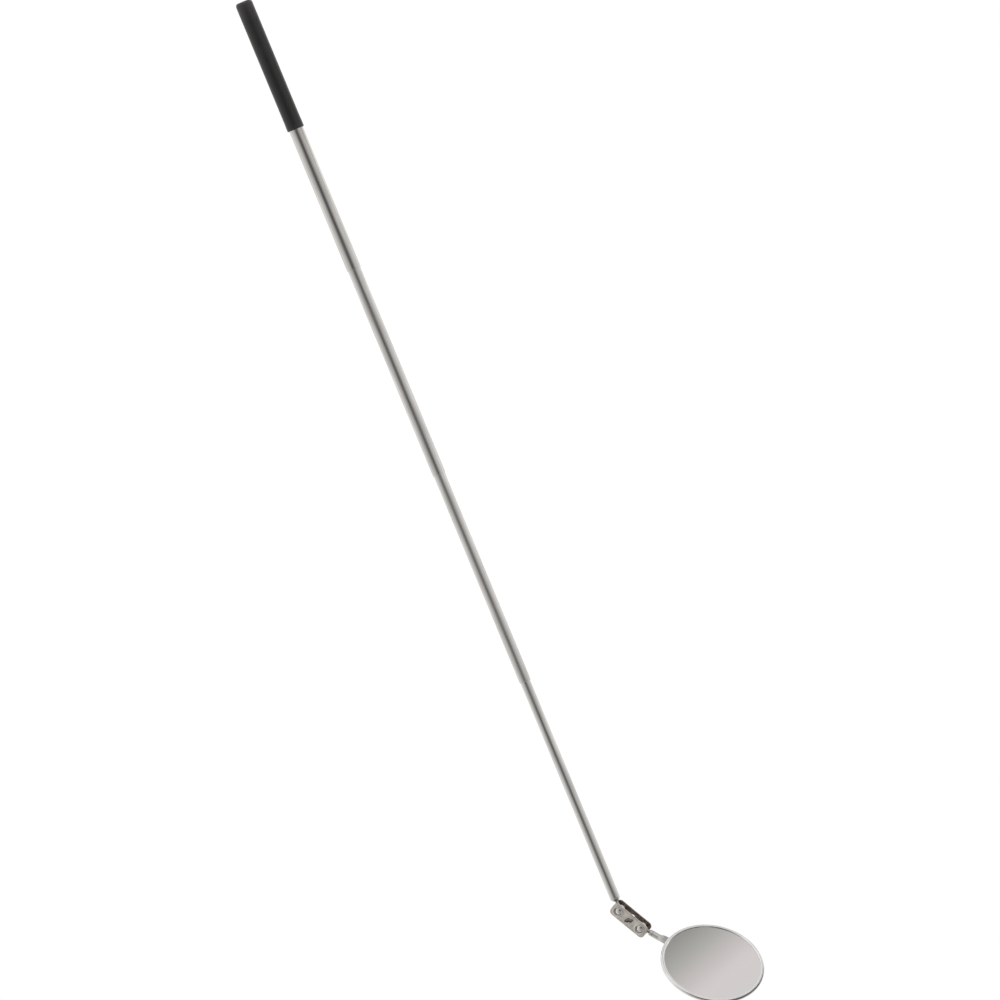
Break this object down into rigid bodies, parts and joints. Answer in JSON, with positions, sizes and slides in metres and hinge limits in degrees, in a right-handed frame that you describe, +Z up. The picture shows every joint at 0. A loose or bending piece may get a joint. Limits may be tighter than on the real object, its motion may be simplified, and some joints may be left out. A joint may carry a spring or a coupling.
{
  "type": "telescoping inspection mirror",
  "caption": "Round mirror on a telescoping rod with a padded grip and a clamp link of ball joints, for looking into places that can't be seen directly.",
  "frame": {"origin": "centre of the flat end face of the grip, on the rod's axis", "axes": "+X along the rod from the grip to the mirror, +Z up as the tool lies on a flat surface with its glass facing up and back to the user, +Y to the side that the mirror lies on"},
  "size_m": [0.6032, 0.0666, 0.0414],
  "materials": {
    "vinyl": "soft black vinyl with a dull sheen",
    "nylon": "moulded nylon",
    "rod_steel": "bright drawn steel",
    "bronze": "rolled spring bronze",
    "ball_chrome": "polished ball",
    "plate_steel": "stamped and tumbled steel, dull nickel plated",
    "screw_steel": "dark zinc plated",
    "case_chrome": "bright plated pressed steel",
    "pad_board": "pressed felt board",
    "silvered_glass": "silvered flat glass"
  },
  "bodies": {
    "handle": {"grip_sleeve": "vinyl", "butt_plug": "nylon", "tube_1": "rod_steel"},
    "spring_2": {"friction_spring_2": "bronze"},
    "section_2": {"tube_2": "rod_steel"},
    "spring_3": {"friction_spring_3": "bronze"},
    "section_3": {"tube_3": "rod_steel"},
    "spring_4": {"friction_spring_4": "bronze"},
    "section_4": {"tube_4": "rod_steel", "tip_stud": "rod_steel"},
    "ball_1": {"rod_ball": "ball_chrome"},
    "link": {"link_plate_front": "plate_steel", "link_plate_back": "plate_steel", "clamp_screw": "screw_steel", "spring_washer": "screw_steel", "clamp_nut": "screw_steel"},
    "ball_2": {"mirror_ball": "ball_chrome"},
    "stem": {"mirror_stem": "rod_steel"},
    "head": {"stem_blade": "rod_steel", "mirror_case": "case_chrome", "backing_pad": "pad_board", "mirror_glass": "silvered_glass"}
  },
  "joints": [
    {"name": "section_2_slide", "type": "slide", "parent": "handle", "child": "spring_2", "axis": [1, 0, 0], "range_m": [-0.118, 0]},
    {"name": "section_2_spin", "type": "hinge", "parent": "spring_2", "child": "section_2", "pos_m": [0.2, 0, 0], "axis": [1, 0, 0], "continuous": true},
    {"name": "section_3_slide", "type": "slide", "parent": "section_2", "child": "spring_3", "axis": [1, 0, 0], "range_m": [-0.119, 0]},
    {"name": "section_3_spin", "type": "hinge", "parent": "spring_3", "child": "section_3", "pos_m": [0.33, 0, 0], "axis": [1, 0, 0], "continuous": true},
    {"name": "section_4_slide", "type": "slide", "parent": "section_3", "child": "spring_4", "axis": [1, 0, 0], "range_m": [-0.121, 0]},
    {"name": "section_4_spin", "type": "hinge", "parent": "spring_4", "child": "section_4", "pos_m": [0.45, 0, 0], "axis": [1, 0, 0], "continuous": true},
    {"name": "rod_ball_tilt", "type": "hinge", "parent": "section_4", "child": "ball_1", "pos_m": [0.5337, 0, 0], "axis": [0, 0.8527, 0.5224], "range_deg": [-23.8, 1.1]},
    {"name": "link_swing", "type": "hinge", "parent": "ball_1", "child": "link", "pos_m": [0.5337, 0, 0], "axis": [0.1972, -0.5121, 0.836], "range_deg": [-116.2, 63.7]},
    {"name": "mirror_swing", "type": "hinge", "parent": "link", "child": "ball_2", "pos_m": [0.54689, 0.00704, 0.0012], "axis": [-0.1972, 0.5121, -0.836], "range_deg": [-75.6, 104.3]},
    {"name": "mirror_tilt", "type": "hinge", "parent": "ball_2", "child": "stem", "pos_m": [0.54689, 0.00704, 0.0012], "axis": [-0.6377, 0.5807, 0.5061], "range_deg": [-7.7, 17.2]},
    {"name": "head_spin", "type": "hinge", "parent": "stem", "child": "head", "pos_m": [0.54689, 0.00704, 0.0012], "axis": [0.7583, 0.5887, 0.28], "continuous": true}
  ]
}
